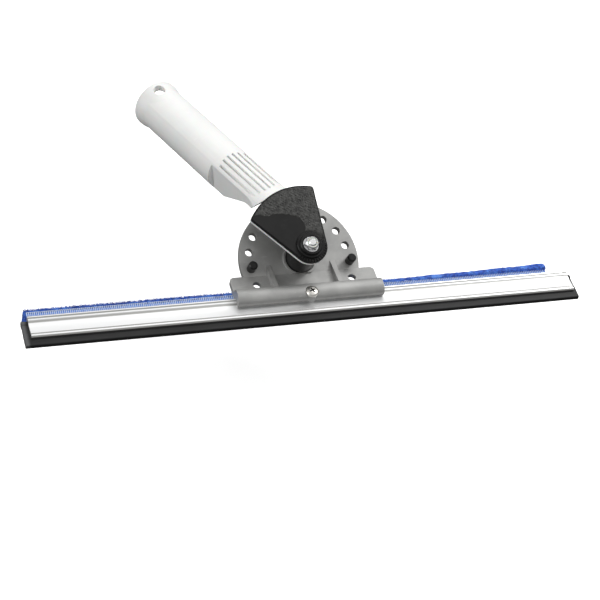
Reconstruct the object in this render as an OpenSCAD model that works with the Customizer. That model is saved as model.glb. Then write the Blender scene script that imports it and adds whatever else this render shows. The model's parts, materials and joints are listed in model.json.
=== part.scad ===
// Window squeegee with an angle-indexed swivel head and a scrubbing pad.
// It lies on its pad and on the end of its grip. Lengths are in millimetres, angles in degrees.
//
// Blade frame: origin where the pivot axis meets the disc's face, with the blade channel level.
// Disc frame: the same origin, +Z along the pivot bolt towards its nut, +Y from the blade to the handle.
// Handle frame: the disc frame swung to where the handle rests.
// Grip frame: +Y along the grip's axis, +Z out of its front face.

/* [Blade] */
// Length of the blade channel
channel_len = 350; // [220:1:450]
// Depth of the channel from its rear edge to its lips
channel_w = 16.4; // [15:0.1:20]
// Height of the channel
channel_h = 7.2; // [6:0.1:9]
// Length of each lip, where the channel grips the rubber
lip_depth = 4.2; // [3:0.1:5]
// Thickness of the rubber's wiping blade
rubber_t = 3.2; // [2:0.1:3.6]
// Thickness of the rubber's web inside the channel
web_t = 2.4; // [1.6:0.1:2.6]
// Radius of the bead along the rubber's root
bead_r = 2; // [1.6:0.1:2.1]
// How far the rubber stands out of the channel's lips
rubber_reach = 4.9; // [3:0.1:9]
// How far the rubber passes the channel's left end
rubber_left = 4; // [1:0.5:10]
// How far the rubber passes the channel's right end
rubber_right = 2; // [1:0.5:10]

/* [Pad] */
// How far the pad passes the channel's left end
pad_left = 1; // [-20:0.5:3]
// How far the pad stops short of the channel's right end
pad_right = 12; // [0:0.5:30]
// Depth of the carrier bar under the channel
carrier_w = 11.4; // [10.5:0.1:12]
// Thickness of the carrier bar
carrier_t = 2.8; // [2.4:0.1:4]
// Thickness of the carrier's upright rear web
carrier_web = 1.7; // [1.2:0.1:2.5]
// Thickness of the hook tape
hook_t = 0.8; // [0.5:0.1:1.2]
// Thickness of the pad's loop backing
backing_t = 0.7; // [0.4:0.1:1.2]
// Thickness of the pile under the pad
pile_t = 2.4; // [1.5:0.1:6]
// Thickness of the pile behind the pad
pile_back = 4.9; // [3:0.1:8]
// Thickness of the pile over the pad's front and ends
pile_edge = 1.1; // [0.6:0.1:2.5]
// Thickness of the stitched binding
binding_t = 0.85; // [0.5:0.05:1]

/* [Bracket] */
// Angle between the disc and the blade
head_tilt = 22; // [16:0.5:26]
// Radius of the index disc
disc_r = 38.6; // [36:0.1:42]
// Thickness of the index disc
disc_t = 3.85; // [3:0.05:5]
// Radius of the ring of index holes
index_ring_r = 32.4; // [28:0.1:34]
// Radius of an index hole
index_hole_r = 2.5; // [2:0.05:3]
// Number of index holes
index_count = 11; // [5:2:11]
// Angle between index holes
index_pitch = 19.25; // [17:0.05:19.5]
// Length of the jaw and the flange along the blade
jaw_len = 94.4; // [84:0.2:130]
// Height of the jaw's hump over the channel
jaw_h = 6.1; // [5.2:0.1:8]
// How far the jaw reaches forward from the channel's rear edge
jaw_reach = 7.6; // [7:0.1:10]
// Distance from the pivot back to the channel's rear edge
channel_back = 23.85; // [23:0.05:27]
// Distance from the pivot to the flange's rear edge
flange_back = 7.6; // [6.5:0.1:9]
// Drop from the pivot to the flange's top face
flange_drop = 3.3; // [2.8:0.1:4]
// Thickness of the flange
flange_t = 3; // [2.5:0.1:3.5]
// Radius of the flange's rear corners
flange_corner_r = 3; // [1:0.5:5]
// Distance between the two flange holes
flange_hole_span = 62; // [52:0.5:76]
// Radius of a flange hole
flange_hole_r = 2.5; // [2:0.1:3]
// Distance between the gussets' mid planes
gusset_span = 42; // [30:0.5:44]
// Thickness of a gusset
gusset_t = 3; // [2:0.1:4]

/* [Swivel] */
// Angle that the handle rests at, towards the blade's left end
rest_swing = 23.4; // [-60:0.1:60]
// Radius of the pivot bolt
bolt_r = 2.5; // [2.5:0.1:3]
// Outer radius of the bush round the bolt
bush_r = 4; // [3.6:0.1:5]
// Radius of the boss between the disc and the handle's plate
boss_r = 9.1; // [7:0.1:10]
// Height from the disc's face to the handle's plate
plate_height = 20.4; // [16:0.1:24]
// Thickness of the friction washer
friction_t = 0.8; // [0.5:0.1:1.2]
// Radius of the cup washer under the nut
cup_r = 8.6; // [8:0.1:9.5]
// Height of the cup washer
cup_h = 2.9; // [2.6:0.1:4]
// Width across the flats of the lock nut and the bolt's head
nut_flats = 8; // [8:0.1:9]
// Radius of a stop plug
stop_r = 2.8; // [2.8:0.1:4]
// Height of a stop plug over the disc
stop_h = 7; // [5:0.1:8]
// Width of the stop arm under the handle's plate
arm_w = 10; // [6:0.5:14]

/* [Handle] */
// Distance from the pivot to the end of the grip, along the grip's axis
grip_len = 171.5; // [140:0.5:210]
// Radius of the grip
grip_r = 15.1; // [14:0.1:17]
// Radius of the flared end
flare_r = 16.3; // [16:0.1:19]
// Height of the flatter front panel over the grip's axis
panel_front = 13.9; // [13.2:0.1:13.9]
// Half width of the front panel
panel_half = 10.8; // [8:0.1:11]
// Angle that the grip leans back from the handle's plate
bend = 29.3; // [26:0.1:32]
// Height of the grip's axis over the disc, at the pivot
grip_rise = 27.4; // [26:0.1:28]
// Radius of the pole socket
socket_r = 12; // [10:0.1:12.5]
// Depth of the pole socket
socket_len = 75; // [40:1:78]
// Radius of the hanging hole
hang_r = 3.7; // [2.5:0.1:4.5]
// Distance from the grip's end to the hanging hole
hang_at = 7.6; // [5.5:0.1:20]
// Distance from the pivot to the step between the neck and the grip
step_at = 88.3; // [82:0.1:92]
// Width of the neck
neck_w = 23.3; // [20:0.1:25]
// Number of grooves down the neck's front
groove_count = 6; // [2:1:6]
// Distance between grooves
groove_pitch = 3.67; // [3:0.01:3.8]
// Width of a groove
groove_w = 1.4; // [0.8:0.1:2]
// Radius of the fan plate and its cover
fan_r = 39.6; // [38:0.1:42]
// Half angle of the fan
fan_half = 36.6; // [30:0.1:42]
// Radius of the fan round the pivot
apex_r = 11.1; // [10.5:0.1:13]
// Radius of the fan's corners
fan_corner_r = 1.8; // [0.5:0.1:4]
// Thickness of the handle's plate
plate_t = 2; // [1.6:0.1:2.6]
// Height of the cover on the plate
cover_h = 2.6; // [2.2:0.1:4]
// Thickness of the cover's walls
cover_wall = 1.2; // [1:0.1:1.6]

/* [Fits] */
// Radial clearance of a shaft in its hole
run_gap = 0.05; // [0.02:0.01:0.1]
// Clearance between faces that slide past each other
face_gap = 0.1; // [0.05:0.01:0.3]
// Clearance round the clamp screw
screw_gap = 0.1; // [0.05:0.01:0.3]

/* [Hidden] */
$fn = 96;

// Heights in the blade frame, from the pivot
flange_z = -flange_drop;
channel_mid_z = flange_z - channel_h / 2;
channel_low_z = flange_z - channel_h;
carrier_low_z = channel_low_z - carrier_t;
hook_low_z = carrier_low_z - hook_t;
backing_low_z = hook_low_z - backing_t;
pad_low_z = backing_low_z - pile_t;
web_top_z = flange_z - flange_t - face_gap / 2 - binding_t;
channel_end = channel_len / 2;
pad_x = [-channel_end - pad_left, channel_end - pad_right];

// Places forward of the channel's rear edge
web_rear = -carrier_web - face_gap;
backing_rear = web_rear - backing_t;
pile_rear = backing_rear - pile_back;
carrier_front = web_rear + carrier_w;
backing_front = carrier_front + backing_t;
bead_at = 4;
screw_at = 4.6;
binding_rear = -4.2;

// The jaw's foot behind the channel, its hump, and its lip over the channel
jaw_foot = 6.3;
hump_at = 1;
hump_rear = 5;
hump_low = 1.2;
lip_top = 1.4;
lip_low = 0.4;
lip_undercut = 0.8;
jaw_sink = 1.6;

flange_hole_y = -channel_back + 6.4 + flange_hole_r;

// The clamp screw is M3.5 with a thin square nut
screw_r = 1.75;
screw_head_r = 3.9;
screw_head_h = 2.5;
screw_pad_r = screw_head_r - 0.5;
screw_seat_z = flange_z + jaw_h - 1.6;
slot_turn = 20;
square_nut_w = 6;
square_nut_t = 2;

// Heights in the disc frame
plate_top = plate_height + plate_t;
cover_top = plate_top + cover_h;
bush_top = cover_top + face_gap;
cup_floor = bush_top + 0.6;
cup_flange_t = 1.2;
washer_t = 0.8;
nut_low = cup_floor + washer_t;
nut_hex_h = 2.8;
nut_h = 4;
bolt_top = nut_low + nut_h + 0.5;
hex_head_h = 3.5;
hub_ring_h = 1.5;
stop_angle = index_pitch * (index_count - 1) / 2;
stop_pin_len = 5;
stop_dome = 0.8;
arm_len = index_ring_r + stop_r + 0.5;
arm_low = 2;

// Places along the grip
flare_at = grip_len - 20;
groove_from = 44;
groove_floor = 12.3;
groove_depth = 3.4;
core_from = 56;
core_to = step_at - 5;
core_rib = 2.4;
core_wall = 2.6;

// Corners of the slope behind the neck, as [along the handle, height over the disc]
neck_keel = [fan_r + 7.9, 3.8];
neck_chin = [fan_r + 1.4, 9.5];

// The front panel is an arc through its two edges and its highest line
panel_rise = panel_front - sqrt(pow(grip_r, 2) - pow(panel_half, 2));
panel_arc_r = (pow(panel_half, 2) + pow(panel_rise, 2)) / (2 * panel_rise);

// The grip's direction in the blade frame, and the box of the whole tool
grip_y = cos(head_tilt) * cos(rest_swing) * cos(bend) + sin(head_tilt) * sin(bend);
grip_z = sin(head_tilt) * cos(rest_swing) * cos(bend) - cos(head_tilt) * sin(bend);
grip_end_low = cos(head_tilt) * grip_rise + grip_len * grip_z - flare_r * sqrt(1 - pow(grip_z, 2));
back_y = -sin(head_tilt) * grip_rise + grip_len * grip_y + flare_r * sqrt(1 - pow(grip_y, 2));
front_y = -channel_back - channel_w - rubber_reach;
pivot = [(rubber_left - rubber_right) / 2, -(front_y + back_y) / 2, -min(pad_low_z, grip_end_low)];

white = [0.90, 0.91, 0.90];
grey = [0.62, 0.62, 0.61];
black = [0.12, 0.12, 0.12];
steel = [0.78, 0.78, 0.80];
blue = [0.16, 0.32, 0.72];

module blade_frame() translate(pivot) children();
module disc_frame() blade_frame() rotate([head_tilt, 0, 0]) children();
module handle_frame() disc_frame() rotate([0, 0, rest_swing]) children();
module lean_back() translate([0, 0, grip_rise]) rotate([-bend, 0, 0]) children();
module grip_frame() handle_frame() lean_back() children();

// Points on an arc, with its angles measured from +Y towards +X
function arc(r, from, to, steps, centre = [0, 0]) = [
    for (i = [0 : steps])
        let (a = from + (to - from) * i / steps)
        centre + r * [sin(a), cos(a)]
];

// Blade-frame [y, z] of a point given forward of the channel's rear edge
function section(points) = [for (p = points) [-channel_back - p[0], p[1]]];

// Handle-frame [y, z] of a point in the grip frame's mid plane
function upright(s, n) = [s * cos(bend) + n * sin(bend), grip_rise - s * sin(bend) + n * cos(bend)];

// Height of the front panel over the grip's axis at a distance to one side
function panel_at(x) = panel_front - panel_arc_r + sqrt(pow(panel_arc_r, 2) - pow(x, 2));

// A bar along X with its outline in Y and Z
module bar(x0, x1) translate([x0, 0, 0]) rotate([90, 0, 90]) linear_extrude(x1 - x0) children();

// A bar along the grip's axis with its outline in X and Z
module grip_bar(s0, s1) translate([0, s1, 0]) rotate([90, 0, 0]) linear_extrude(s1 - s0) children();

module ring(outer, inner, low, high) translate([0, 0, low]) linear_extrude(high - low) difference() {
    circle(outer);
    circle(inner);
}

module hex_prism(flats, h) cylinder(h = h, r = flats / 2 / cos(30), $fn = 6);

// ---- Blade ----

// The channel's upper skin from its rear edge to a lip, as [forward, height over the mid plane].
// Two beads run along its rear, then a wide hollow, then two more beads along its lip.
function channel_skin(h, w) = concat(
    [[0, h - 1.2], [0.3, h - 0.4], [0.9, h], [1.5, h - 0.1], [1.8, h - 0.5], [2.3, h - 0.5]],
    [[2.7, h - 0.15], [3.1, h - 0.1]],
    [for (i = [0 : 16]) let (t = i / 16) [3.5 + t * (w - 6.4), h - 0.15 - 0.85 * sin(180 * pow(t, 0.65))]],
    [[w - 2.6, h - 0.4], [w - 2.1, h - 0.4], [w - 1.8, h], [w - 0.8, h], [w, h - 0.7]]
);

module channel_outline() {
    skin = channel_skin(channel_h / 2, channel_w);
    under = [for (i = [len(skin) - 1 : -1 : 0]) [skin[i][0], -skin[i][1]]];
    translate([0, channel_mid_z]) polygon(section(concat(skin, under)));
}

// The rubber's section, grown by a gap round its bead and web where it slides in loosely
module rubber_outline(gap, front) translate([0, channel_mid_z]) {
    lip_at = channel_w - lip_depth;
    translate([-channel_back - bead_at, 0]) circle(bead_r + gap);
    polygon(section([
        [bead_at, web_t / 2 + gap], [lip_at - gap, web_t / 2 + gap],
        [lip_at - gap, -web_t / 2 - gap], [bead_at, -web_t / 2 - gap],
    ]));
    polygon(section([
        [lip_at - gap, rubber_t / 2], [front - 0.3, rubber_t / 2], [front, rubber_t / 2 - 0.3],
        [front, -rubber_t / 2 + 0.6], [front - 0.6, -rubber_t / 2], [lip_at - gap, -rubber_t / 2],
    ]));
}

module screw_hole(r) translate([0, -channel_back - screw_at, pad_low_z]) cylinder(h = 40, r = r);

module blade_channel() color([0.86, 0.87, 0.88]) blade_frame() difference() {
    bar(-channel_end, channel_end) difference() {
        channel_outline();
        rubber_outline(face_gap, channel_w + 5);
    }
    screw_hole(screw_r + screw_gap);
}

module rubber_blade() color(black) blade_frame() difference() {
    bar(-channel_end - rubber_left, channel_end + rubber_right)
        rubber_outline(0, channel_w + rubber_reach);
    screw_hole(screw_r + screw_gap);
}

// ---- Bracket ----

// The jaw's hump from the flange over the channel, as two quarters of an ellipse that meet at its top
function jaw_skin(h) = concat(
    [[-jaw_foot, 0], [-jaw_foot + 1.1, 0.2], [-jaw_foot + 2, 0.9]],
    [for (a = [180 : -9 : 99]) [hump_at + hump_rear * cos(a), hump_low + (h - hump_low) * sin(a)]],
    [for (a = [90 : -7.5 : 0])
        [hump_at + (jaw_reach - hump_at) * cos(a), lip_top + (h - lip_top) * sin(a)]]
);

module jaw() difference() {
    bar(-jaw_len / 2, jaw_len / 2) difference() {
        translate([0, flange_z]) polygon(section(concat(
            jaw_skin(jaw_h),
            [[jaw_reach, lip_low], [jaw_reach - lip_undercut, lip_low]],
            [[jaw_reach - lip_undercut, -jaw_sink], [0, -jaw_sink]],
            [[0, -flange_t], [-jaw_foot, -flange_t]]
        )));
        channel_outline();
    }
    translate([0, -channel_back - screw_at, screw_seat_z]) cylinder(h = jaw_h, r = screw_head_r + 0.3);
}

// A round pad that carries the front of the screw's head down to the channel
module screw_pad() intersection() {
    translate([0, -channel_back - screw_at, flange_z - 0.9])
        cylinder(h = screw_seat_z - flange_z + 0.9, r = screw_pad_r);
    bar(-jaw_len / 2, jaw_len / 2) difference() {
        translate([-channel_back - channel_w, flange_z - 2]) square([channel_w, jaw_h + 4]);
        channel_outline();
    }
}

module flange() translate([0, 0, flange_z - flange_t]) linear_extrude(flange_t) difference() {
    half = jaw_len / 2;
    r = flange_corner_r;
    union() {
        translate([-half, -channel_back]) square([jaw_len, channel_back - flange_back - r]);
        translate([-half + r, -channel_back]) square([jaw_len - 2 * r, channel_back - flange_back]);
        for (side = [-1, 1]) translate([side * (half - r), -flange_back - r]) circle(r);
    }
    for (side = [-1, 1])
        translate([side * flange_hole_span / 2, flange_hole_y]) circle(flange_hole_r);
}

module gusset() {
    disc_y = -2 * cos(head_tilt);
    disc_z = -2 * sin(head_tilt);
    rear_top = flange_z + jaw_h - 1.3;
    bar(-gusset_t / 2, gusset_t / 2) polygon([
        [disc_y, disc_z], [-channel_back + 0.9, rear_top], [-channel_back + 0.9, flange_z - 1],
        [-flange_back - 1, flange_z - 1], [disc_y - 1.5, disc_z - disc_t / 2],
    ]);
}

// The disc is cut straight where it meets the flange, and its hub ring with it
module index_disc() {
    front = (flange_back + 0.8) / cos(head_tilt);
    module behind_flange() translate([-disc_r, -front]) square([2 * disc_r, disc_r + front]);
    translate([0, 0, -disc_t]) linear_extrude(disc_t) difference() {
        intersection() {
            circle(disc_r);
            behind_flange();
        }
        circle(bolt_r + run_gap);
        for (i = [0 : index_count - 1])
            rotate(i * index_pitch - stop_angle) translate([0, index_ring_r]) circle(index_hole_r);
    }
    linear_extrude(hub_ring_h) intersection() {
        difference() {
            circle(boss_r + 1.7);
            circle(boss_r + 0.4);
        }
        behind_flange();
    }
}

module bracket() color(grey) difference() {
    union() {
        disc_frame() index_disc();
        blade_frame() {
            jaw();
            screw_pad();
            flange();
            for (side = [-1, 1]) translate([side * gusset_span / 2, 0, 0]) gusset();
        }
    }
    blade_frame() screw_hole(screw_r + screw_gap);
}

// ---- Clamp ----

module clamp_screw() color(steel) blade_frame() translate([0, -channel_back - screw_at, 0]) {
    shank_low = carrier_low_z + 0.4;
    translate([0, 0, shank_low]) cylinder(h = screw_seat_z - shank_low, r = screw_r);
    dome_r = screw_head_r - 0.2;
    squash = 0.43;
    translate([0, 0, screw_seat_z]) difference() {
        rotate_extrude() polygon(concat(
            [[0, 0], [screw_head_r, 0], [screw_head_r, 0.8]],
            [for (p = arc(dome_r, 84, 0, 10)) [p[0], screw_head_h + squash * (p[1] - dome_r)]]
        ));
        for (turn = [slot_turn, slot_turn + 90]) rotate(turn)
            translate([-2.1, -0.5, 1]) cube([4.2, 1, screw_head_h]);
    }
}

module clamp_nut() color(steel) blade_frame() translate([0, -channel_back - screw_at, carrier_low_z])
    difference() {
        translate([-square_nut_w / 2, -square_nut_w / 2, 0])
            cube([square_nut_w, square_nut_w, square_nut_t]);
        translate([0, 0, -1]) cylinder(h = square_nut_t + 2, r = screw_r + run_gap);
    }

// ---- Pad ----

module pad_carrier() color([0.80, 0.81, 0.82]) blade_frame() difference() {
    bar(pad_x[0] + pile_edge + backing_t, pad_x[1] - pile_edge - backing_t) polygon(section([
        [carrier_front, channel_low_z], [carrier_front, carrier_low_z], [web_rear, carrier_low_z],
        [web_rear, web_top_z], [-face_gap, web_top_z], [-face_gap, channel_low_z],
    ]));
    screw_hole(screw_r + screw_gap);
    translate([0, -channel_back - screw_at, carrier_low_z + square_nut_t / 2 - 0.5])
        cube([square_nut_w + 2 * run_gap, square_nut_w + 2 * run_gap, square_nut_t + 1], center = true);
}

module hook_tape() color([0.3, 0.3, 0.32]) blade_frame()
    bar(pad_x[0] + pile_edge + 5, pad_x[1] - pile_edge - 5) polygon(section([
        [carrier_front - 1, carrier_low_z], [carrier_front - 1, hook_low_z],
        [web_rear + 1, hook_low_z], [web_rear + 1, carrier_low_z],
    ]));

// The backing wraps the carrier's front, underside, rear and ends
module loop_backing() color([0.85, 0.88, 0.93]) blade_frame() difference() {
    bar(pad_x[0] + pile_edge, pad_x[1] - pile_edge) polygon(section([
        [backing_front, channel_low_z - 0.6], [backing_front, backing_low_z],
        [backing_rear, backing_low_z], [backing_rear, web_top_z],
        [web_rear + 0.01, web_top_z], [web_rear + 0.01, channel_low_z - 0.6],
    ]));
    bar(pad_x[0] + pile_edge + backing_t, pad_x[1] - pile_edge - backing_t) polygon(section([
        [carrier_front, 0], [carrier_front, hook_low_z], [web_rear, hook_low_z], [web_rear, 0],
    ]));
}

module scrubbing_pile() color(blue) blade_frame() difference() {
    front = backing_front + pile_edge;
    r = min(2, pile_t - 0.4);
    bar(pad_x[0], pad_x[1]) polygon(concat(
        section([[binding_rear, web_top_z], [binding_rear, web_top_z + binding_t - 0.2]]),
        arc(1.2, 0, 90, 6, section([[pile_rear + 1.2, web_top_z + binding_t - 1.4]])[0]),
        arc(r, 90, 180, 8, section([[pile_rear + r, pad_low_z + r]])[0]),
        arc(r, 180, 270, 8, section([[front - r, pad_low_z + r]])[0]),
        section([[front, channel_low_z - 0.8], [backing_rear, channel_low_z - 0.8],
            [backing_rear, web_top_z]])
    ));
    bar(pad_x[0] + pile_edge, pad_x[1] - pile_edge) polygon(section([
        [backing_front, 0], [backing_front, backing_low_z], [backing_rear, backing_low_z], [backing_rear, 0],
    ]));
}

module pad_binding() color([0.66, 0.80, 0.95]) blade_frame()
    bar(pad_x[0] + pile_edge, pad_x[1] - pile_edge) polygon(section([
        [-face_gap, web_top_z], [binding_rear, web_top_z],
        [binding_rear, web_top_z + binding_t - 0.2], [binding_rear + 0.3, web_top_z + binding_t],
        [-face_gap - 0.3, web_top_z + binding_t], [-face_gap, web_top_z + binding_t - 0.3],
    ]));

// ---- Pivot ----

module pivot_bolt() color(steel) disc_frame() {
    head_top = -disc_t - washer_t;
    translate([0, 0, head_top - hex_head_h]) hex_prism(nut_flats, hex_head_h);
    rotate_extrude() polygon([
        [0, head_top - 0.5], [bolt_r, head_top - 0.5], [bolt_r, bolt_top - 0.6],
        [bolt_r - 0.6, bolt_top], [0, bolt_top],
    ]);
}

module rear_washer() color(steel) disc_frame() ring(5.3, bolt_r + run_gap, -disc_t - washer_t, -disc_t);

module pivot_bush() color([0.72, 0.68, 0.55]) disc_frame() ring(bush_r, bolt_r + run_gap, 0, bush_top);

module friction_washer() color(white) disc_frame() ring(boss_r - 0.3, bush_r + run_gap, 0, friction_t);

module cup_washer() color(black) disc_frame() translate([0, 0, bush_top]) rotate_extrude() {
    inner = bolt_r + run_gap;
    floor_h = cup_floor - bush_top;
    collar_r = cup_r - 1.5;
    recess_r = nut_flats / 2 / cos(30) + 0.7;
    polygon([
        [inner, 0], [cup_r, 0], [cup_r, cup_flange_t - 0.4], [cup_r - 0.4, cup_flange_t],
        [collar_r, cup_flange_t], [collar_r, cup_h - 0.5], [collar_r - 0.5, cup_h],
        [recess_r, cup_h], [recess_r, floor_h], [inner, floor_h],
    ]);
}

module nut_washer() color(steel) disc_frame() ring(nut_flats / 2 + 1, bolt_r + run_gap, cup_floor, nut_low);

module lock_nut() color(steel) disc_frame() translate([0, 0, nut_low]) difference() {
    union() {
        intersection() {
            hex_prism(nut_flats, nut_hex_h);
            rotate_extrude() polygon([
                [0, 0], [nut_flats / 2 + 1, 0], [nut_flats / 2 + 1, nut_hex_h - 0.6],
                [nut_flats / 2 - 0.1, nut_hex_h], [0, nut_hex_h],
            ]);
        }
        rotate_extrude() polygon([
            [0, nut_hex_h - 0.5], [nut_flats / 2 - 0.1, nut_hex_h - 0.5],
            [nut_flats / 2 - 0.1, nut_h - 0.5], [nut_flats / 2 - 0.6, nut_h], [0, nut_h],
        ]);
    }
    translate([0, 0, -1]) cylinder(h = nut_h + 2, r = bolt_r + run_gap);
    translate([0, 0, nut_hex_h]) cylinder(h = nut_h, r = bolt_r + 0.8);
}

module nut_insert() color([0.85, 0.85, 0.8]) disc_frame()
    ring(bolt_r + 0.8, bolt_r + run_gap, nut_low + nut_hex_h, nut_low + nut_h - 0.2);

// ---- Handle ----

// A fan round the pivot, with straight sides tangent to its apex and rounded outer corners
module fan(r, apex, corner) {
    side = fan_half + acos(apex / r);
    turn = side - acos((apex - corner) / (r - corner));
    centre = (r - corner) * [sin(turn), cos(turn)];
    polygon(concat(
        arc(r, -turn, turn, 40),
        arc(corner, turn, side, 6, centre),
        arc(apex, side, 360 - side, 30),
        arc(corner, -side, -turn, 6, [-centre[0], centre[1]])
    ));
}

module grip_section() intersection() {
    circle(grip_r);
    translate([0, panel_front - panel_arc_r]) circle(panel_arc_r);
}

// The neck is the grip's section between two flat sides, cut by a slope behind and the plate's face before
module neck() {
    half = neck_w / 2;
    side = [
        [half + 1.5, fan_r - 9], [half + 1.5, fan_r + 0.5], [half + 0.6, fan_r + 4],
        [half, fan_r + 9], [half, grip_len],
    ];
    other_side = [for (i = [len(side) - 1 : -1 : 0]) [-side[i][0], side[i][1]]];
    intersection() {
        lean_back() grip_bar(fan_r - 14, step_at + 1) grip_section();
        bar(-neck_w, neck_w) polygon([
            [fan_r - 8, plate_top], [grip_len, plate_top], [grip_len, -grip_len],
            upright(step_at, -grip_r), neck_keel, neck_chin,
            [fan_r - 0.3, plate_height], [fan_r - 8, plate_height],
        ]);
        translate([0, 0, -grip_len]) linear_extrude(2 * grip_len) polygon(concat(side, other_side));
    }
}

// The grip, its flared end and the socket's mouth, along the grip's axis
module grip() difference() {
    union() {
        grip_bar(step_at, grip_len - 6) grip_section();
        rotate([-90, 0, 0]) rotate_extrude() polygon(concat(
            [[0, flare_at], [panel_front - 0.4, flare_at], [grip_r - 0.3, grip_len - 11]],
            [[grip_r + 0.3, grip_len - 8.5], [flare_r - 0.15, grip_len - 5], [flare_r, grip_len - 3]],
            arc(1.5, 90, 0, 6, [flare_r - 1.5, grip_len - 1.5]),
            [[0, grip_len]]
        ));
    }
    translate([0, grip_len + 1, 0]) rotate([90, 0, 0]) cylinder(h = socket_len + 1, r = socket_r);
    translate([0, grip_len - hang_at, -grip_len]) cylinder(h = 2 * grip_len, r = hang_r);
}

// Grooves down the neck's front, deeper towards the grip
module grooves() for (i = [0 : groove_count - 1]) {
    x = (i - (groove_count - 1) / 2) * groove_pitch;
    low = groove_from + 0.024 * pow(x, 2);
    high = step_at - 3.4 - 0.03 * pow(x, 2);
    front = panel_at(x);
    bar(x - groove_w / 2, x + groove_w / 2) polygon([
        [low, min(front, groove_floor) - 0.4], [high, front - groove_depth],
        [high, grip_r + 5], [low, grip_r + 5],
    ]);
}

// Two pockets that core the neck out from behind, with a rib between them
module neck_cores() {
    w = neck_w / 2 - core_rib / 2 - core_wall;
    for (x = [core_rib / 2, -core_rib / 2 - w]) translate([x, core_from, -grip_r - 5])
        cube([w, core_to - core_from, grip_r + 9]);
}

module handle_shell() color(white) handle_frame() difference() {
    union() {
        translate([0, 0, plate_height]) linear_extrude(plate_t) fan(fan_r, apex_r, fan_corner_r);
        neck();
        lean_back() grip();
    }
    translate([0, 0, plate_height - 1]) cylinder(h = plate_t + 2, r = bush_r + run_gap);
    lean_back() {
        grooves();
        neck_cores();
    }
}

module handle_cover() color(black) handle_frame() difference() {
    union() {
        translate([0, 0, plate_top]) linear_extrude(cover_h - 0.5) fan(fan_r, apex_r, fan_corner_r);
        translate([0, 0, cover_top - 0.5])
            linear_extrude(0.5) fan(fan_r - 0.5, apex_r - 0.5, fan_corner_r);
    }
    translate([0, 0, plate_top - 1]) linear_extrude(cover_h - cover_wall + 1) difference() {
        fan(fan_r - cover_wall, apex_r - cover_wall, fan_corner_r - 0.4);
        circle(boss_r - 1);
    }
    translate([0, 0, plate_top - 1]) cylinder(h = cover_h + 2, r = bush_r + run_gap);
    for (a = [110 : 10 : 250]) rotate(-a) translate([-0.35, cup_r + 0.6, cover_top - 0.6]) cube([0.7, 5, 1]);
}

// The boss carries the plate over the disc, and its arm meets the stops
module swivel_boss() color(black) disc_frame() rotate([0, 0, rest_swing]) difference() {
    union() {
        low = friction_t + face_gap;
        translate([0, 0, low]) cylinder(h = plate_height - low, r = boss_r);
        translate([-arm_w / 2, 0, arm_low]) cube([arm_w, arm_len, plate_height - arm_low]);
    }
    cylinder(h = plate_height + 1, r = bush_r + run_gap);
}

// ---- Stops ----

module stop_plug(side) color(black) disc_frame()
    rotate(-side * stop_angle) translate([0, index_ring_r, 0]) rotate_extrude() {
        pin_r = index_hole_r - run_gap;
        polygon([
            [0, -stop_pin_len], [pin_r - 0.6, -stop_pin_len], [pin_r, -stop_pin_len + 0.6],
            [pin_r, run_gap], [stop_r, run_gap], [stop_r, stop_h - stop_dome],
            [stop_r - stop_dome, stop_h], [0, stop_h],
        ]);
    }

module left_stop() stop_plug(-1);
module right_stop() stop_plug(1);

bracket();
blade_channel();
rubber_blade();
clamp_screw();
clamp_nut();
pad_carrier();
hook_tape();
loop_backing();
scrubbing_pile();
pad_binding();
pivot_bolt();
rear_washer();
pivot_bush();
friction_washer();
cup_washer();
nut_washer();
lock_nut();
nut_insert();
handle_shell();
handle_cover();
swivel_boss();
left_stop();
right_stop();
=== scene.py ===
import math
import json
import random
import bpy
import bmesh
from mathutils import Vector, Matrix, noise


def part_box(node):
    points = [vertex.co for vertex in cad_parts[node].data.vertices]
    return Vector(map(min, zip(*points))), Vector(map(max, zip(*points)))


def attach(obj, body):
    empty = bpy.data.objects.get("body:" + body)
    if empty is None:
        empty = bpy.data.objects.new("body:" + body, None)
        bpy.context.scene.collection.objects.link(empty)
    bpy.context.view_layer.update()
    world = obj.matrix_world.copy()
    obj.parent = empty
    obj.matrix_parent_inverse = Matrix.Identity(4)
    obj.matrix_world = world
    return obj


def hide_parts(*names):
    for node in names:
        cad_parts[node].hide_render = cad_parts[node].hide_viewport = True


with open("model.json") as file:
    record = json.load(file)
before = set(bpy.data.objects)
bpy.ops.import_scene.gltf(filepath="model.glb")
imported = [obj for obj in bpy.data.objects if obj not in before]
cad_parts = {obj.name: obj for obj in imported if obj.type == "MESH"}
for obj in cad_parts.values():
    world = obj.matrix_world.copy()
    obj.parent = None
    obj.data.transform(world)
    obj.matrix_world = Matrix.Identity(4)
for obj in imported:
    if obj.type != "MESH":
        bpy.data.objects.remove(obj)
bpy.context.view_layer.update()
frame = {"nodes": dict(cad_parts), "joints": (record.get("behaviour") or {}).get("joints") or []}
nodes = frame["nodes"]
mm = 0.001

# the swivel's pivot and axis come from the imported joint
swivelJoint = next(joint for joint in frame["joints"] if joint["name"] == "handle_swivel")
pivot = Vector(swivelJoint["pos_m"])
axis = Vector(swivelJoint["axis"])
print("squeegee loaded, pivot at", [round(value, 4) for value in pivot])


# one socket of a shader tree, which adds Math nodes as it is used in an expression
class Wire:
    def __init__(self, tree, socket):
        self.tree = tree
        self.socket = socket

    def maths(self, operation, first, second):
        settings = {"operation": operation}
        return addNode(self.tree, "ShaderNodeMath", settings, {0: first, 1: second})

    def __add__(self, other):
        return self.maths("ADD", self, other)

    __radd__ = __add__

    def __sub__(self, other):
        return self.maths("SUBTRACT", self, other)

    def __rsub__(self, other):
        return self.maths("SUBTRACT", other, self)

    def __mul__(self, other):
        return self.maths("MULTIPLY", self, other)

    def __pow__(self, other):
        return self.maths("POWER", self, other)

    def __abs__(self):
        return addNode(self.tree, "ShaderNodeMath", {"operation": "ABSOLUTE"}, {0: self})


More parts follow.
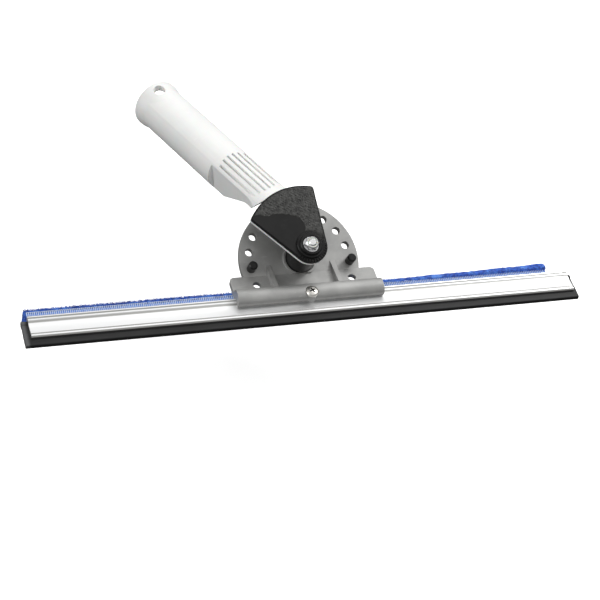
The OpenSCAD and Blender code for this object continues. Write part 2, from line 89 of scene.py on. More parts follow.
def addNode(tree, kind, settings=None, values=None, output=0):
    node = tree.nodes.new(kind)
    for name, value in (settings or {}).items():
        setattr(node, name, value)
    for name, value in (values or {}).items():
        if isinstance(value, Wire):
            tree.links.new(value.socket, node.inputs[name])
        else:
            node.inputs[name].default_value = value
    return Wire(tree, node.outputs[output])


def asColour(colour):
    return colour if isinstance(colour, Wire) else (*colour, 1.0)


def mixColour(tree, factor, low, high):
    return addNode(tree, "ShaderNodeMix", {"data_type": "RGBA", "clamp_factor": True},
                   {0: factor, 6: asColour(low), 7: asColour(high)}, output=2)


def noiseOn(tree, place, scale, detail=3.0, stretch=None, roughness=0.55):
    spot = place
    if stretch:
        spot = addNode(tree, "ShaderNodeMapping", {}, {"Vector": place, "Scale": stretch})
    return addNode(tree, "ShaderNodeTexNoise", {},
                   {"Vector": spot, "Scale": scale, "Detail": detail, "Roughness": roughness})


def softStep(tree, value, low, high):
    return addNode(tree, "ShaderNodeMapRange", {"interpolation_type": "SMOOTHSTEP"}, {
        "Value": value, "From Min": low, "From Max": high, "To Min": 0.0, "To Max": 1.0})


def coordinate(tree, place, name):
    return addNode(tree, "ShaderNodeSeparateXYZ", {}, {"Vector": place}, output="XYZ".index(name))


# a fine relief over edges that are eased by a small radius
def relief(tree, height, depth, edge):
    eased = addNode(tree, "ShaderNodeBevel", {"samples": 4}, {"Radius": edge})
    return addNode(tree, "ShaderNodeBump", {},
                   {"Height": height, "Distance": depth, "Normal": eased})


# a new material, its tree, and the place of each point in the object's own frame
def newFinish(name):
    material = bpy.data.materials.new(name)
    material.use_nodes = True
    tree = material.node_tree
    return material, tree, addNode(tree, "ShaderNodeTexCoord", output=3)


def setSurface(tree, values):
    shader = next(node for node in tree.nodes if node.type == "BSDF_PRINCIPLED")
    for name, value in values.items():
        if isinstance(value, Wire):
            tree.links.new(value.socket, shader.inputs[name])
        else:
            shader.inputs[name].default_value = value


# scales are in waves per metre, and grain depths and eased edges in mm
plasticLooks = {
    "whiteHandle": {
        "dark": (0.88, 0.886, 0.876), "light": (0.92, 0.924, 0.914), "rough": 0.36,
        "roughSpread": 0.14, "toneScale": 35, "grainScale": 1500, "grainDepth": 0.012,
        "edge": 0.5, "milky": 0.08},
    "greyBracket": {
        "dark": (0.33, 0.33, 0.325), "light": (0.42, 0.42, 0.412), "rough": 0.36,
        "roughSpread": 0.16, "toneScale": 70, "grainScale": 1300, "grainDepth": 0.018,
        "edge": 0.35, "metallic": 0.35},
    "blackCover": {
        "dark": (0.006, 0.006, 0.006), "light": (0.011, 0.011, 0.011), "rough": 0.42,
        "roughSpread": 0.2, "toneScale": 90, "grainScale": 1700, "grainDepth": 0.014,
        "edge": 0.45, "shine": 0.22},
    "blackGrain": {
        "dark": (0.010, 0.010, 0.0095), "light": (0.056, 0.056, 0.053), "rough": 0.36,
        "roughSpread": 0.25, "toneScale": 420, "grainScale": 2100, "grainDepth": 0.03,
        "edge": 0.1, "shine": 0.4},
    "blackBoss": {
        "dark": (0.004, 0.004, 0.004), "light": (0.008, 0.008, 0.008), "rough": 0.22,
        "roughSpread": 0.18, "toneScale": 110, "grainScale": 1900, "grainDepth": 0.010,
        "edge": 0.5, "shine": 0.3},
    "stopRubber": {
        "dark": (0.003, 0.003, 0.003), "light": (0.007, 0.007, 0.007), "rough": 0.22,
        "roughSpread": 0.2, "toneScale": 250, "grainScale": 2300, "grainDepth": 0.012,
        "edge": 0.6, "shine": 0.35},
    "carrierBar": {
        "dark": (0.52, 0.53, 0.54), "light": (0.60, 0.61, 0.62), "rough": 0.45,
        "roughSpread": 0.12, "toneScale": 50, "grainScale": 1800, "grainDepth": 0.012,
        "edge": 0.3},
    "nylonWasher": {
        "dark": (0.62, 0.62, 0.56), "light": (0.72, 0.72, 0.66), "rough": 0.4,
        "roughSpread": 0.1, "toneScale": 200, "grainScale": 2500, "grainDepth": 0.006,
        "edge": 0.15, "milky": 0.2},
    "tanBush": {
        "dark": (0.46, 0.40, 0.26), "light": (0.56, 0.50, 0.34), "rough": 0.35,
        "roughSpread": 0.12, "toneScale": 220, "grainScale": 2400, "grainDepth": 0.006,
        "edge": 0.2},
    "hookNylon": {
        "dark": (0.045, 0.045, 0.05), "light": (0.10, 0.10, 0.11), "rough": 0.5,
        "roughSpread": 0.2, "toneScale": 900, "grainScale": 1200, "grainDepth": 0.25,
        "edge": 0.1},
}
mouldedSkin = {"tones": (0.3, 0.7), "streakScale": 6, "streakStretch": (0.35, 1.0, 1.0),
               "streaks": (0.60, 0.74), "wornGain": 1.12, "wornLift": 0.004, "wornShare": 0.5,
               "wornRough": 0.06, "milkyReach": 0.002}


# moulded plastic has a pebbled skin, slow changes of tone and faint rubbed streaks
def mouldedPlastic(name, look):
    material, tree, place = newFinish(name)
    grain = noiseOn(tree, place, look["grainScale"], detail=2.0)
    tone = noiseOn(tree, place, look["toneScale"], detail=4.0)
    streaks = noiseOn(tree, place, look["toneScale"] * mouldedSkin["streakScale"], detail=5.0,
                      stretch=mouldedSkin["streakStretch"])
    rubbed = softStep(tree, streaks, *mouldedSkin["streaks"])
    shade = mixColour(tree, softStep(tree, tone, *mouldedSkin["tones"]),
                      look["dark"], look["light"])
    gain, lift = mouldedSkin["wornGain"], mouldedSkin["wornLift"]
    worn = tuple(min(1.0, value * gain + lift) for value in look["light"])
    setSurface(tree, {
        "Base Color": mixColour(tree, rubbed * mouldedSkin["wornShare"], shade, worn),
        "Roughness": (tone * look["roughSpread"] + look["rough"]
                      + rubbed * mouldedSkin["wornRough"]),
        "Normal": relief(tree, grain, look["grainDepth"] * mm, look["edge"] * mm),
        "Metallic": look.get("metallic", 0.0),
        "Specular IOR Level": look.get("shine", 0.5),
        "Subsurface Weight": look.get("milky", 0.0),
        "Subsurface Scale": mouldedSkin["milkyReach"],
    })
    return material


finishes = {name: mouldedPlastic(name, look) for name, look in plasticLooks.items()}
print("moulded plastics made")


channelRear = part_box("blade_channel")[1].y
screwLow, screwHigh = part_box("clamp_screw")
screwTop = Vector(((screwLow.x + screwHigh.x) / 2, (screwLow.y + screwHigh.y) / 2, screwHigh.z))

# a groove is its distance from the channel's rear edge and its half width, in mm, and a dark line
# of painted shade is drawn along each
metalLooks = {
    "drawnAluminium": {
        "dark": (0.84, 0.845, 0.85), "light": (0.93, 0.935, 0.94), "rough": 0.30,
        "roughSpread": 0.16, "stretch": (6, 900, 900), "lineDepth": 0.006, "edge": 0.15,
        # the next colour is painted shade, drawn as dark lines along the grooves
        "grooveShade": (0.42, 0.42, 0.41), "grooveCore": 0.3,
        "grooves": ((2.05, 0.75), (4.6, 1.0), (14.0, 0.7), (16.2, 0.9))},
    "zincSteel": {
        "dark": (0.74, 0.74, 0.75), "light": (0.92, 0.92, 0.93), "rough": 0.15,
        "roughSpread": 0.22, "stretch": (500, 500, 500), "lineDepth": 0.006, "edge": 0.25},
    "screwSteel": {
        "dark": (0.70, 0.68, 0.64), "light": (0.88, 0.86, 0.82), "rough": 0.27,
        "roughSpread": 0.15, "stretch": (420, 420, 420), "lineDepth": 0.002, "edge": 0.2,
        # the recess colour is painted shade in the driver's sunk cross
        "recess": {"bow": 124.0, "half": 2.9, "core": 0.9, "from": 0.12, "to": 0.4,
                   "colour": (0.012, 0.010, 0.009)}},
}
workedSkin = {"lineScale": 2.0, "hazeScale": 45.0, "lineShare": 0.6, "hazeShare": 0.4,
              "hazeRough": 0.08}


# painted shade: dark lines are painted along the grooves that run along the channel, where they
# lie in shade
def paintGrooveShade(tree, place, shade, look):
    along = coordinate(tree, place, "Y")
    for distance, half in look["grooves"]:
        apart = abs(along - (channelRear - distance * mm))
        clear = softStep(tree, apart, look["grooveCore"] * half * mm, half * mm)
        # painted shade darkens the colour along each groove
        shade = mixColour(tree, clear, look["grooveShade"], shade)
    return shade


# painted shade: the driver's cross is painted dark where it is sunk below the screw's domed head
def paintRecessShade(tree, place, shade, recess):
    across, along, height = (coordinate(tree, place, name) for name in "XYZ")
    reach = (across - screwTop.x) ** 2 + (along - screwTop.y) ** 2
    sunk = screwTop.z - reach * recess["bow"] - height
    rim, core = recess["half"] * mm, recess["half"] * recess["core"] * mm
    inside = softStep(tree, reach, rim ** 2, core ** 2)
    deep = softStep(tree, sunk, recess["from"] * mm, recess["to"] * mm)
    return mixColour(tree, deep * inside, shade, recess["colour"])


# metal has fine lines along its drawing direction and hazy patches where hands touch it
def workedMetal(name, look):
    material, tree, place = newFinish(name)
    lines = noiseOn(tree, place, workedSkin["lineScale"], stretch=look["stretch"])
    haze = noiseOn(tree, place, workedSkin["hazeScale"], detail=4.0)
    shade = mixColour(tree, lines * workedSkin["lineShare"] + haze * workedSkin["hazeShare"],
                      look["dark"], look["light"])
    if "grooves" in look:
        shade = paintGrooveShade(tree, place, shade, look)
    if "recess" in look:
        shade = paintRecessShade(tree, place, shade, look["recess"])
    setSurface(tree, {
        "Base Color": shade,
        "Metallic": 1.0,
        "Roughness": lines * look["roughSpread"] + haze * workedSkin["hazeRough"] + look["rough"],
        "Normal": relief(tree, lines, look["lineDepth"] * mm, look["edge"] * mm),
    })
    return material


for name, look in metalLooks.items():
    finishes[name] = workedMetal(name, look)


# the painted light's distances are in metres past the channel's left end
rubberLook = {"fresh": (0.009, 0.009, 0.0095), "dusty": (0.020, 0.020, 0.021),
              # the next colour is painted light on the rubber's cut end past the channel
              "paintedLitEnd": (0.105, 0.107, 0.110), "litEndFrom": 0.0006, "litEndTo": 0.0030,
              "litEndLeast": 0.7, "litEndPatches": 0.4, "litEndRough": 0.12,
              "dustScale": 60.0, "dustStretch": (0.3, 1.0, 1.0), "dust": (0.42, 0.72),
              "dustRough": 0.2, "rough": 0.38, "shine": 0.28, "moulding": 1400,
              "grainDepth": 0.010, "edge": 0.3}


# the rubber is black with a little dust, and where its cut end stands out of the channel it is
# painted paler, as painted light in patches that follow the dust
def wipingRubber(name, look):
    material, tree, place = newFinish(name)
    dust = noiseOn(tree, place, look["dustScale"], detail=5.0, stretch=look["dustStretch"])
    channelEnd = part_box("blade_channel")[0].x
    outside = softStep(tree, coordinate(tree, place, "X"),
                       channelEnd - look["litEndFrom"], channelEnd - look["litEndTo"])
    shade = mixColour(tree, softStep(tree, dust, *look["dust"]), look["fresh"], look["dusty"])
    # painted light: the end past the channel is painted paler, in patches that follow the dust
    paintedLitEnd = outside * (look["litEndLeast"] + dust * look["litEndPatches"])
    setSurface(tree, {
        "Base Color": mixColour(tree, paintedLitEnd, shade, look["paintedLitEnd"]),
        "Roughness": dust * look["dustRough"] + look["rough"] + outside * look["litEndRough"],
        "Normal": relief(tree, noiseOn(tree, place, look["moulding"], detail=2.0),
                         look["grainDepth"] * mm, look["edge"] * mm),
        "Specular IOR Level": look["shine"],
    })
    return material


finishes["wipingRubber"] = wipingRubber("wipingRubber", rubberLook)
print("metals and rubber made")


pileLook = {"deep": (0.010, 0.036, 0.26), "mid": (0.036, 0.13, 0.62), "tip": (0.13, 0.32, 0.86),
            "tuftScale": 700.0, "bunchScale": 160.0, "fibreScale": 3500.0, "tufts": (0.34, 0.66),
            "tips": (0.48, 0.66), "bunchShare": 0.6, "fibreShare": 0.4, "rough": 0.72,
            "roughSpread": 0.15, "fibreDepth": 0.00012, "sheen": 0.5, "sheenRough": 0.45}


# the pile is deep blue between its tufts and pale at the tips of its bunched fibres
def fibrePile(name, look):
    material, tree, place = newFinish(name)
    tuft = noiseOn(tree, place, look["tuftScale"], detail=2.0)
    bunch = noiseOn(tree, place, look["bunchScale"])
    fibre = noiseOn(tree, place, look["fibreScale"], detail=2.0)
    shade = mixColour(tree, softStep(tree, tuft, *look["tufts"]), look["deep"], look["mid"])
    bunched = bunch * look["bunchShare"] + fibre * look["fibreShare"]
    setSurface(tree, {
        "Base Color": mixColour(tree, softStep(tree, bunched, *look["tips"]),
                                shade, look["tip"]),
        "Roughness": tuft * look["roughSpread"] + look["rough"],
        "Normal": addNode(tree, "ShaderNodeBump", {},
                          {"Height": fibre, "Distance": look["fibreDepth"]}),
        "Sheen Weight": look["sheen"],
        "Sheen Roughness": look["sheenRough"],
        "Sheen Tint": (*look["tip"], 1.0),
    })
    return material


finishes["microfibre"] = fibrePile("microfibre", pileLook)

clothLooks = {
    "bindingCloth": {"deep": (0.04, 0.14, 0.60), "pale": (0.14, 0.33, 0.86),
                     "threads": 260.0, "depth": 0.08},
    "backingCloth": {"deep": (0.48, 0.54, 0.62), "pale": (0.70, 0.75, 0.82),
                     "threads": 330.0, "depth": 0.06},
    "stitchYarn": {"deep": (0.42, 0.55, 0.78), "pale": (0.80, 0.87, 0.95),
                   "threads": 900.0, "depth": 0.05},
}
weaveSkin = {"warpBend": 0.6, "weftBend": 0.5, "weftThreads": 0.9, "bendDetail": 1.0,
             "warpShare": 0.5, "weftShare": 0.5, "fluffScale": 900.0, "weaveTone": 0.7,
             "fluffTone": 0.3, "fluffRough": 0.15, "rough": 0.75, "fluffHeight": 0.4,
             "sheen": 0.3}


# cloth has two sets of slightly uneven threads under a fine fluff
def wovenCloth(name, look):
    material, tree, place = newFinish(name)
    skin = weaveSkin
    warp = addNode(tree, "ShaderNodeTexWave", {"bands_direction": "X"}, {
        "Vector": place, "Scale": look["threads"],
        "Distortion": skin["warpBend"], "Detail": skin["bendDetail"]})
    weft = addNode(tree, "ShaderNodeTexWave", {"bands_direction": "DIAGONAL"}, {
        "Vector": place, "Scale": look["threads"] * skin["weftThreads"],
        "Distortion": skin["weftBend"], "Detail": skin["bendDetail"]})
    weave = warp * skin["warpShare"] + weft * skin["weftShare"]
    fluff = noiseOn(tree, place, skin["fluffScale"])
    setSurface(tree, {
        "Base Color": mixColour(tree, weave * skin["weaveTone"] + fluff * skin["fluffTone"],
                                look["deep"], look["pale"]),
        "Roughness": fluff * skin["fluffRough"] + skin["rough"],
        "Normal": addNode(tree, "ShaderNodeBump", {}, {
            "Height": weave + fluff * skin["fluffHeight"], "Distance": look["depth"] * mm}),
        "Sheen Weight": skin["sheen"],
    })
    return material


for name, look in clothLooks.items():
    finishes[name] = wovenCloth(name, look)
print("cloth and yarn made")


nodeFinishes = {
    "bracket": "greyBracket", "blade_channel": "drawnAluminium", "rubber_blade": "wipingRubber",
    "clamp_screw": "screwSteel", "clamp_nut": "zincSteel", "pad_carrier": "carrierBar",
    "hook_tape": "hookNylon", "pivot_bolt": "zincSteel", "rear_washer": "zincSteel",
    "pivot_bush": "tanBush", "friction_washer": "nylonWasher", "cup_washer": "blackBoss",
    "nut_washer": "zincSteel", "lock_nut": "zincSteel", "nut_insert": "nylonWasher",
    "handle_shell": "whiteHandle", "handle_cover": "blackCover", "swivel_boss": "blackBoss",
    "left_stop": "stopRubber", "right_stop": "stopRubber", "loop_backing": "backingCloth",
    "scrubbing_pile": "microfibre", "pad_binding": "bindingCloth",
}
for name, finish in nodeFinishes.items():
    mesh = nodes[name].data
    mesh.materials.clear()
    mesh.materials.append(finishes[finish])
print("finishes on", len(nodeFinishes), "solid pieces")


def newPiece(name, corners, faces, finish, body="head"):
    mesh = bpy.data.meshes.new(name)
    mesh.from_pydata(corners, [], faces)
    mesh.materials.append(finishes[finish])
    form = bmesh.new()
    form.from_mesh(mesh)
    bmesh.ops.recalc_face_normals(form, faces=form.faces)
    for face in form.faces:
        face.smooth = True
    form.to_mesh(mesh)
    form.free()
    piece = bpy.data.objects.new(name, mesh)
    bpy.context.scene.collection.objects.link(piece)
    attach(piece, body)
    return piece


# closed rings joined one after another, with both ends filled
def skinRings(rings, corners, faces):
    start, count = len(corners), len(rings[0])
    for ring in rings:
        corners.extend(ring)
    for i in range(len(rings) - 1):
        row = start + i * count
        for j in range(count):
            k = (j + 1) % count
            faces.append((row + j, row + k, row + count + k, row + count + j))
    faces.append(tuple(range(start, start + count)))
    last = start + (len(rings) - 1) * count
    faces.append(tuple(reversed(range(last, last + count))))


skewed = Vector((0.31, 0.17, 0.93))  # no thread lies along this, so it gives each one a side


# a round thread through some points, with a radius at each
def addThread(points, radii, sides, corners, faces):
    rings = []
    for i, point in enumerate(points):
        ahead = points[min(i + 1, len(points) - 1)] - points[max(i - 1, 0)]
        along = ahead.normalized()
        side = along.cross(skewed).normalized()
        other = along.cross(side)
        turns = [2 * math.pi * k / sides for k in range(sides)]
        rings.append([point + radii[i] * (math.cos(t) * side + math.sin(t) * other)
                      for t in turns])
    skinRings(rings, corners, faces)


def cornerArc(centre, radius, start, end, steps):
    angles = [math.radians(start + (end - start) * i / steps) for i in range(steps + 1)]
    return [(centre[0] + radius * math.cos(a), centre[1] + radius * math.sin(a)) for a in angles]


# lengths are in mm, waves are per metre, and the bulge's heights are shares of the pile's top
pile = {"frontGap": 0.8, "floorGap": 0.15, "cornerTop": 1.3, "cornerLow": 2.0, "tuckUnder": 0.1,
        "bulge": 0.25, "bulgeHeights": (0.62, 0.45), "lipBack": 0.2, "step": 1.1, "lowest": 0.05,
        "waviness": 0.38, "waveScale": 420, "slowWave": 0.3, "slowScale": 60, "slowSlice": 4.0,
        "swell": 2.4, "swellAbove": 4, "swellPower": 1.5, "endRound": 0.7, "endReach": 2.2,
        "flapShrink": 0.5, "flapShares": (0.05, 0.5, 1.0), "seed": 7}
tufts = {"count": 11000, "length": (0.7, 1.7), "radius": 0.17, "spread": (0.75, 1.2),
         "taper": (1, 0.9, 0.35), "rearWeight": 1.6, "frontWeight": 0.8, "inset": 0.4,
         "rooted": 0.35, "bendAt": 0.6, "leanAlong": 0.8, "leanAcross": 0.4, "lowest": 0.12}
endTufts = {"share": 40, "length": (0.6, 1.2), "radii": (0.2, 0.17, 0.06), "rooted": 0.5,
            "lean": 0.5, "front": 1.5, "rear": 1.0, "low": 0.6, "high": 0.3}

pileLow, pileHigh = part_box("scrubbing_pile")
backLow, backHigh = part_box("loop_backing")
bindLow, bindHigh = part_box("pad_binding")
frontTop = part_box("blade_channel")[0].z - pile["frontGap"] * mm


# the pile's outside in (y, z), from the binding round the back and underside to the front
def pileOutline(look):
    rear, front = pileHigh.y, pileLow.y
    top, low = pileHigh.z, pileLow.z + look["floorGap"] * mm
    small, large = look["cornerTop"] * mm, look["cornerLow"] * mm
    under, bulge = look["tuckUnder"] * mm, look["bulge"] * mm
    path = [(bindHigh.y + under, top - under), ((bindHigh.y + rear) / 2, top + under)]
    path += cornerArc((rear - small, top - small), small, 90, 0, 4)
    path += [(rear + bulge, top * height) for height in look["bulgeHeights"]]
    path += cornerArc((rear - large, low + large), large, 0, -90, 5)
    path += [(rear + (front - rear) * k / 8, low) for k in range(2, 7)]
    path += cornerArc((front + large, low + large), large, -90, -180, 5)
    path += [(front, (low + large + frontTop) / 2), (front + look["lipBack"] * mm, frontTop)]
    return path


def outlineNormals(path):
    normals = []
    for i in range(len(path)):
        before, after = path[max(i - 1, 0)], path[min(i + 1, len(path) - 1)]
        dy, dz = after[0] - before[0], after[1] - before[1]
        size = math.hypot(dy, dz)
        normals.append((-dz / size, dy / size))
    return normals


# the outline pushed out and in at one x, so that the pile waves, swells and rounds off
def wavedOutline(look, path, normals, x):
    toEnd = min(x - pileLow.x, pileHigh.x - x)
    tuck = look["endRound"] * mm * max(0.0, 1 - toEnd / (look["endReach"] * mm)) ** 2
    fine, slow = look["waveScale"], look["slowScale"]
    ring = []
    for (y, z), (ny, nz) in zip(path, normals):
        wave = noise.noise(Vector((x * fine, y * fine, z * fine))) * look["waviness"] * mm
        slowPlace = Vector((x * slow, y * slow, look["slowSlice"]))
        wave += noise.noise(slowPlace) * look["slowWave"] * mm
        if y > backHigh.y and z > look["swellAbove"] * mm:  # the back swells to the right
            wave += look["swell"] * mm * max(0.0, x / pileHigh.x) ** look["swellPower"]
        y2, z2 = y + ny * (wave - tuck), z + nz * (wave - tuck)
        ring.append(Vector((x, y2, max(z2, pileLow.z + look["lowest"] * mm))))
    return ring


# the pile over the outside and its flaps over the pad's two ends
def addPileBody(look, path, normals, corners, faces):
    inside = [(backLow.y, frontTop), (backLow.y, backLow.z), (backHigh.y, backLow.z),
              (backHigh.y, bindLow.z), (bindHigh.y, bindLow.z)]
    length = pileHigh.x - pileLow.x
    count = int(length / (look["step"] * mm))
    rings = []
    for i in range(count + 1):
        x = pileLow.x + length * i / count
        rings.append(wavedOutline(look, path, normals, x) + [Vector((x, y, z)) for y, z in inside])
    skinRings(rings, corners, faces)
    lowest = pileLow.z + look["lowest"] * mm
    for end, inner in ((pileLow.x, backLow.x), (pileHigh.x, backHigh.x)):
        flap = []
        for share in look["flapShares"]:
            x = end + (inner - end) * share
            shrink = look["flapShrink"] * mm * (1 - share)
            flap.append([Vector((x, y - ny * shrink, max(z - nz * shrink, lowest)))
                         for (y, z), (ny, nz) in zip(path, normals)])
        skinRings(flap, corners, faces)


# short bent fibres over the outside, thickest round the back where they are seen
def addTufts(look, rng, path, normals, corners, faces):
    weights = [look["rearWeight"] if y > backHigh.y else look["frontWeight"] for y, z in path]
    lowest = pileLow.z + look["lowest"] * mm
    far, across = look["leanAlong"], look["leanAcross"]
    for i in range(look["count"]):
        k = rng.choices(range(len(path) - 1), weights[:-1])[0]
        share = rng.random()
        y = path[k][0] + (path[k + 1][0] - path[k][0]) * share
        z = path[k][1] + (path[k + 1][1] - path[k][1]) * share
        out = Vector((0, normals[k][0], normals[k][1]))
        x = rng.uniform(pileLow.x + look["inset"] * mm, pileHigh.x - look["inset"] * mm)
        lean = Vector((rng.uniform(-far, far), rng.uniform(-across, across),
                       rng.uniform(-across, across)))
        long = rng.uniform(*look["length"]) * mm
        root = Vector((x, y, z)) - out * look["rooted"] * mm
        tip = root + (out + lean).normalized() * long
        bend = root + out * long * look["bendAt"]
        points = [root, bend, tip]
        for point in points:
            point.z = max(point.z, lowest)
            point.x = min(max(point.x, pileLow.x), pileHigh.x)
        thick = look["radius"] * mm * rng.uniform(*look["spread"])
        addThread(points, [thick * share for share in look["taper"]], 3, corners, faces)


def addEndTufts(look, rng, corners, faces):
    lowest = pileLow.z + tufts["lowest"] * mm
    lean = look["lean"]
    for end, way in ((pileLow.x, -1), (pileHigh.x, 1)):
        for i in range(tufts["count"] // look["share"]):
            y = rng.uniform(pileLow.y + look["front"] * mm, pileHigh.y - look["rear"] * mm)
            top = pileHigh.z if y > bindHigh.y else frontTop
            z = rng.uniform(pileLow.z + look["low"] * mm, top - look["high"] * mm)
            root = Vector((end - way * look["rooted"] * mm, y, z))
            out = Vector((way, rng.uniform(-lean, lean), rng.uniform(-lean, lean))).normalized()
            long = rng.uniform(*look["length"]) * mm
            bend = root + Vector((way, 0, 0)) * long * tufts["bendAt"]
            points = [root, bend, root + out * long]
            for point in points:
                point.z = max(point.z, lowest)
            addThread(points, [radius * mm for radius in look["radii"]], 3, corners, faces)


def buildPile(look):
    rng = random.Random(look["seed"])
    path = pileOutline(look)
    normals = outlineNormals(path)
    corners, faces = [], []
    addPileBody(look, path, normals, corners, faces)
    addTufts(tufts, rng, path, normals, corners, faces)
    addEndTufts(endTufts, rng, corners, faces)
    piece = newPiece("scrubbingPile", corners, faces, "microfibre")
    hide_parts("scrubbing_pile")


buildPile(pile)
print("scrubbing pile tufted")


backing = {"thickness": 0.62, "corner": 0.5, "inset": 0.04, "above": 0.15, "below": 0.03,
           "endInset": 0.1, "step": 4.0, "ripple": 0.05, "rippleAlong": 80, "rippleAcross": 50}


# a cloth sleeve round the carrier's front, underside and rear
def buildBacking(look):
    t, r, inset = look["thickness"] * mm, look["corner"] * mm, look["inset"] * mm
    front, rear, low = backLow.y + inset, backHigh.y - inset, backLow.z + inset
    frontEdge, rearEdge = frontTop + look["above"] * mm, bindLow.z - look["below"] * mm
    outer = [(front, frontEdge)] + cornerArc((front + r, low + r), r, 180, 270, 4)
    outer += cornerArc((rear - r, low + r), r, 270, 360, 4) + [(rear, rearEdge)]
    inner = [(rear - t, rearEdge), (rear - t, low + t), (front + t, low + t),
             (front + t, frontEdge)]
    loop = outer + inner
    x0, x1 = backLow.x + look["endInset"] * mm, backHigh.x - look["endInset"] * mm
    count = int((x1 - x0) / (look["step"] * mm))
    corners, faces, rings = [], [], []
    for i in range(count + 1):
        x = x0 + (x1 - x0) * i / count
        ring = []
        for y, z in loop:
            spot = Vector((x * look["rippleAlong"], y * look["rippleAcross"], 1.0))
            ring.append(Vector((x, y + look["ripple"] * mm * noise.noise(spot), z)))
        rings.append(ring)
    skinRings(rings, corners, faces)
    piece = newPiece("loopBacking", corners, faces, "backingCloth")
    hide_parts("loop_backing")


buildBacking(backing)
print("backing sewn")


binding = {"inset": 0.05, "step": 0.9, "pitch": 1.18, "puff": 0.07, "unevenness": 0.06,
           "unevenScale": 300}
stitches = {"radius": 0.27, "spread": (0.85, 1.1), "taper": (0.8, 1, 1.05, 1, 0.7), "lift": 0.16,
            "lifts": (0.7, 1.2), "slant": 0.22, "slants": (-0.4, 1.0), "pitches": (0.93, 1.07),
            "ends": 0.6, "seed": 21}
chain = {"radius": 0.2, "step": 0.3, "behind": 0.55, "sway": 0.16, "low": 0.02, "rise": 0.1}
stripFront, stripRear = bindLow.y + binding["inset"] * mm, bindHigh.y
stripMid = (stripFront + stripRear) / 2
stripTop = bindHigh.z
stripLeft, stripRight = bindLow.x, bindHigh.x


def buildBinding(look):
    front, rear, mid, top, low = stripFront, stripRear, stripMid, stripTop, bindLow.z
    corners, faces, rings = [], [], []
    count = int((stripRight - stripLeft) / (look["step"] * mm))
    for i in range(count + 1):
        x = stripLeft + (stripRight - stripLeft) * i / count
        uneven = noise.noise(Vector((x * look["unevenScale"], 0, 2)))
        puff = look["puff"] * mm * math.sin(2 * math.pi * x / (look["pitch"] * mm))
        puff += look["unevenness"] * mm * uneven
        rings.append([Vector((x, y, z)) for y, z in [
            (front, low), (front, top - 0.35 * mm), (front + 0.3 * mm, top - 0.1 * mm),
            (front + 1.2 * mm, top - 0.06 * mm + puff), (mid, top - 0.02 * mm + puff),
            (rear - 1.0 * mm, top - 0.08 * mm + puff), (rear - 0.2 * mm, top - 0.25 * mm),
            (rear, top - 0.5 * mm), (rear, low)]])
    skinRings(rings, corners, faces)
    strip = newPiece("padBinding", corners, faces, "bindingCloth")
    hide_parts("pad_binding")


# one yarn stitch after another across the strip
def addStitches(look, rng, corners, faces):
    x = stripLeft + look["ends"] * mm
    while x < stripRight - look["ends"] * mm:
        slant = look["slant"] * mm * rng.uniform(*look["slants"])
        lift = look["lift"] * mm * rng.uniform(*look["lifts"])
        across = [(stripFront + 0.1 * mm, stripTop - 0.45 * mm),
                  (stripFront + 0.4 * mm, stripTop + lift * 0.7), (stripMid, stripTop + lift),
                  (stripRear + 0.15 * mm, stripTop + lift * 0.9),
                  (stripRear + 0.7 * mm, stripTop - 0.25 * mm)]
        points = [Vector((x + slant * (k / 4 - 0.5), y, z)) for k, (y, z) in enumerate(across)]
        thick = look["radius"] * mm * rng.uniform(*look["spread"])
        addThread(points, [thick * share for share in look["taper"]], 6, corners, faces)
        x += binding["pitch"] * mm * rng.uniform(*look["pitches"])


# a chain stitch that sways along the strip's rear edge
def addChain(look, corners, faces):
    points = []
    ends = stitches["ends"] * mm
    steps = int((stripRight - stripLeft - 2 * ends) / (look["step"] * mm))
    for i in range(steps):
        x = stripLeft + ends + i * look["step"] * mm
        turn = 2 * math.pi * x / (binding["pitch"] * mm)
        y = stripRear + look["behind"] * mm + look["sway"] * mm * math.sin(turn)
        z = stripTop - look["low"] * mm + look["rise"] * mm * math.cos(turn)
        points.append(Vector((x, y, z)))
    addThread(points, [look["radius"] * mm] * len(points), 5, corners, faces)


def buildStitches(look):
    corners, faces = [], []
    addStitches(look, random.Random(look["seed"]), corners, faces)
    addChain(chain, corners, faces)
    yarn = newPiece("bindingStitches", corners, faces, "stitchYarn")


buildBinding(binding)
buildStitches(stitches)
print("binding stitched")


# distances from the swivel's axis and angles from the handle's middle, in mm and degrees
cover = {"swing": 23.4, "face": 25.0, "outer": 38.7, "inner": 9.3, "apex": 11.1, "inset": 0.9,
         "fanHalf": 36.6, "fanRadius": 39.6, "rows": 105, "columns": 130, "sunk": 0.05,
         "raise": 0.16, "border": 2.0, "grain": 0.46, "creaseAcross": (0.55, 0.35),
         "creaseAlong": (1.3, 0.3), "creaseSlice": 3.0, "fineScale": 2.3, "fineSlice": 8.0,
         "creaseShare": 0.5, "fineShare": 0.35, "settle": 0.3,
         "edge": [(9.5, 14), (12, 19), (15, 17), (18, 13), (20, 8), (22.5, -1), (25, -8),
                  (28, -15), (29.5, -19), (31, -25), (34, -28), (36, -29.5), (38.7, -32.5)]}


# the second column of a table at some value of its first, with a smooth run between rows
def readTable(table, value):
    for (a, first), (b, second) in zip(table, table[1:]):
        if value <= b:
            share = (value - a) / (b - a)
            share = share * share * (3 - 2 * share)
            return first + (second - first) * share
    return table[-1][1]


# the grain's height over the cover's face in mm, from creases and a finer pebble
def grainHeight(look, x, y, edge):
    slant, lean = look["creaseAcross"], look["creaseAlong"]
    creasePlace = Vector((x * slant[0] + y * slant[1], y * lean[0] - x * lean[1],
                          look["creaseSlice"]))
    crease = 1 - abs(noise.noise(creasePlace)) * 2
    fine = noise.noise(Vector((x * look["fineScale"], y * look["fineScale"], look["fineSlice"])))
    pattern = look["creaseShare"] * crease + look["fineShare"] * fine - look["settle"]
    return (look["face"] - look["sunk"] + edge * (look["sunk"] + look["raise"])
            + edge * look["grain"] * pattern)


